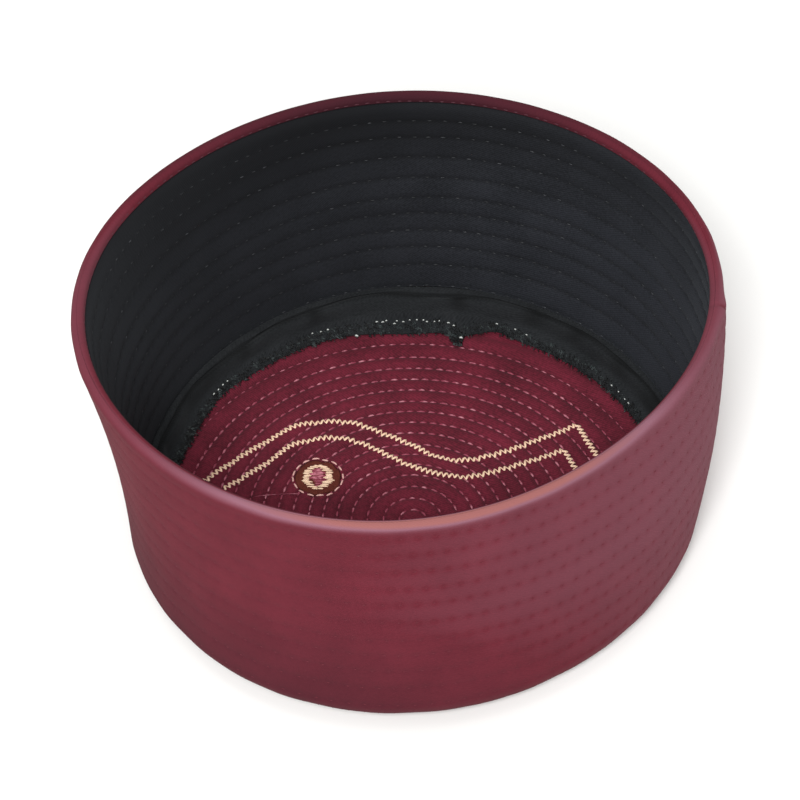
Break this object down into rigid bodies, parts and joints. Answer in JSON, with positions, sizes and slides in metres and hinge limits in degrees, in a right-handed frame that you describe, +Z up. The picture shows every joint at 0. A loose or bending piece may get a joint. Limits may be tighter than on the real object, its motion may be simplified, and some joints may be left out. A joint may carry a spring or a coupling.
{
  "type": "quilted kufi cap",
  "caption": "Round quilted kufi cap lying on its crown, mouth up, with a black lining, a turned-in rim and an embroidered crown.",
  "frame": {"origin": "on the floor under the middle of the cap's box, at the underside of the crown", "axes": "+Z up through the open mouth; +X to the right and +Y away from the viewer of the picture; the upright join of the side band is near +X"},
  "size_m": [0.1918, 0.1894, 0.0915],
  "materials": {
    "outer_cloth": "matte maroon cotton twill, quilted",
    "facing_cloth": "matte maroon cotton twill, turned in",
    "lining_cloth": "matte black cotton twill, quilted",
    "crown_cloth": "maroon cotton twill with ring quilting and gold thread",
    "overlock": "black cloth edge with overlock stitching"
  },
  "bodies": {
    "root": {"outer_wall": "outer_cloth", "rim_facing": "facing_cloth", "wall_lining": "lining_cloth", "crown": "crown_cloth", "seam_allowance": "overlock"}
  },
  "joints": []
}
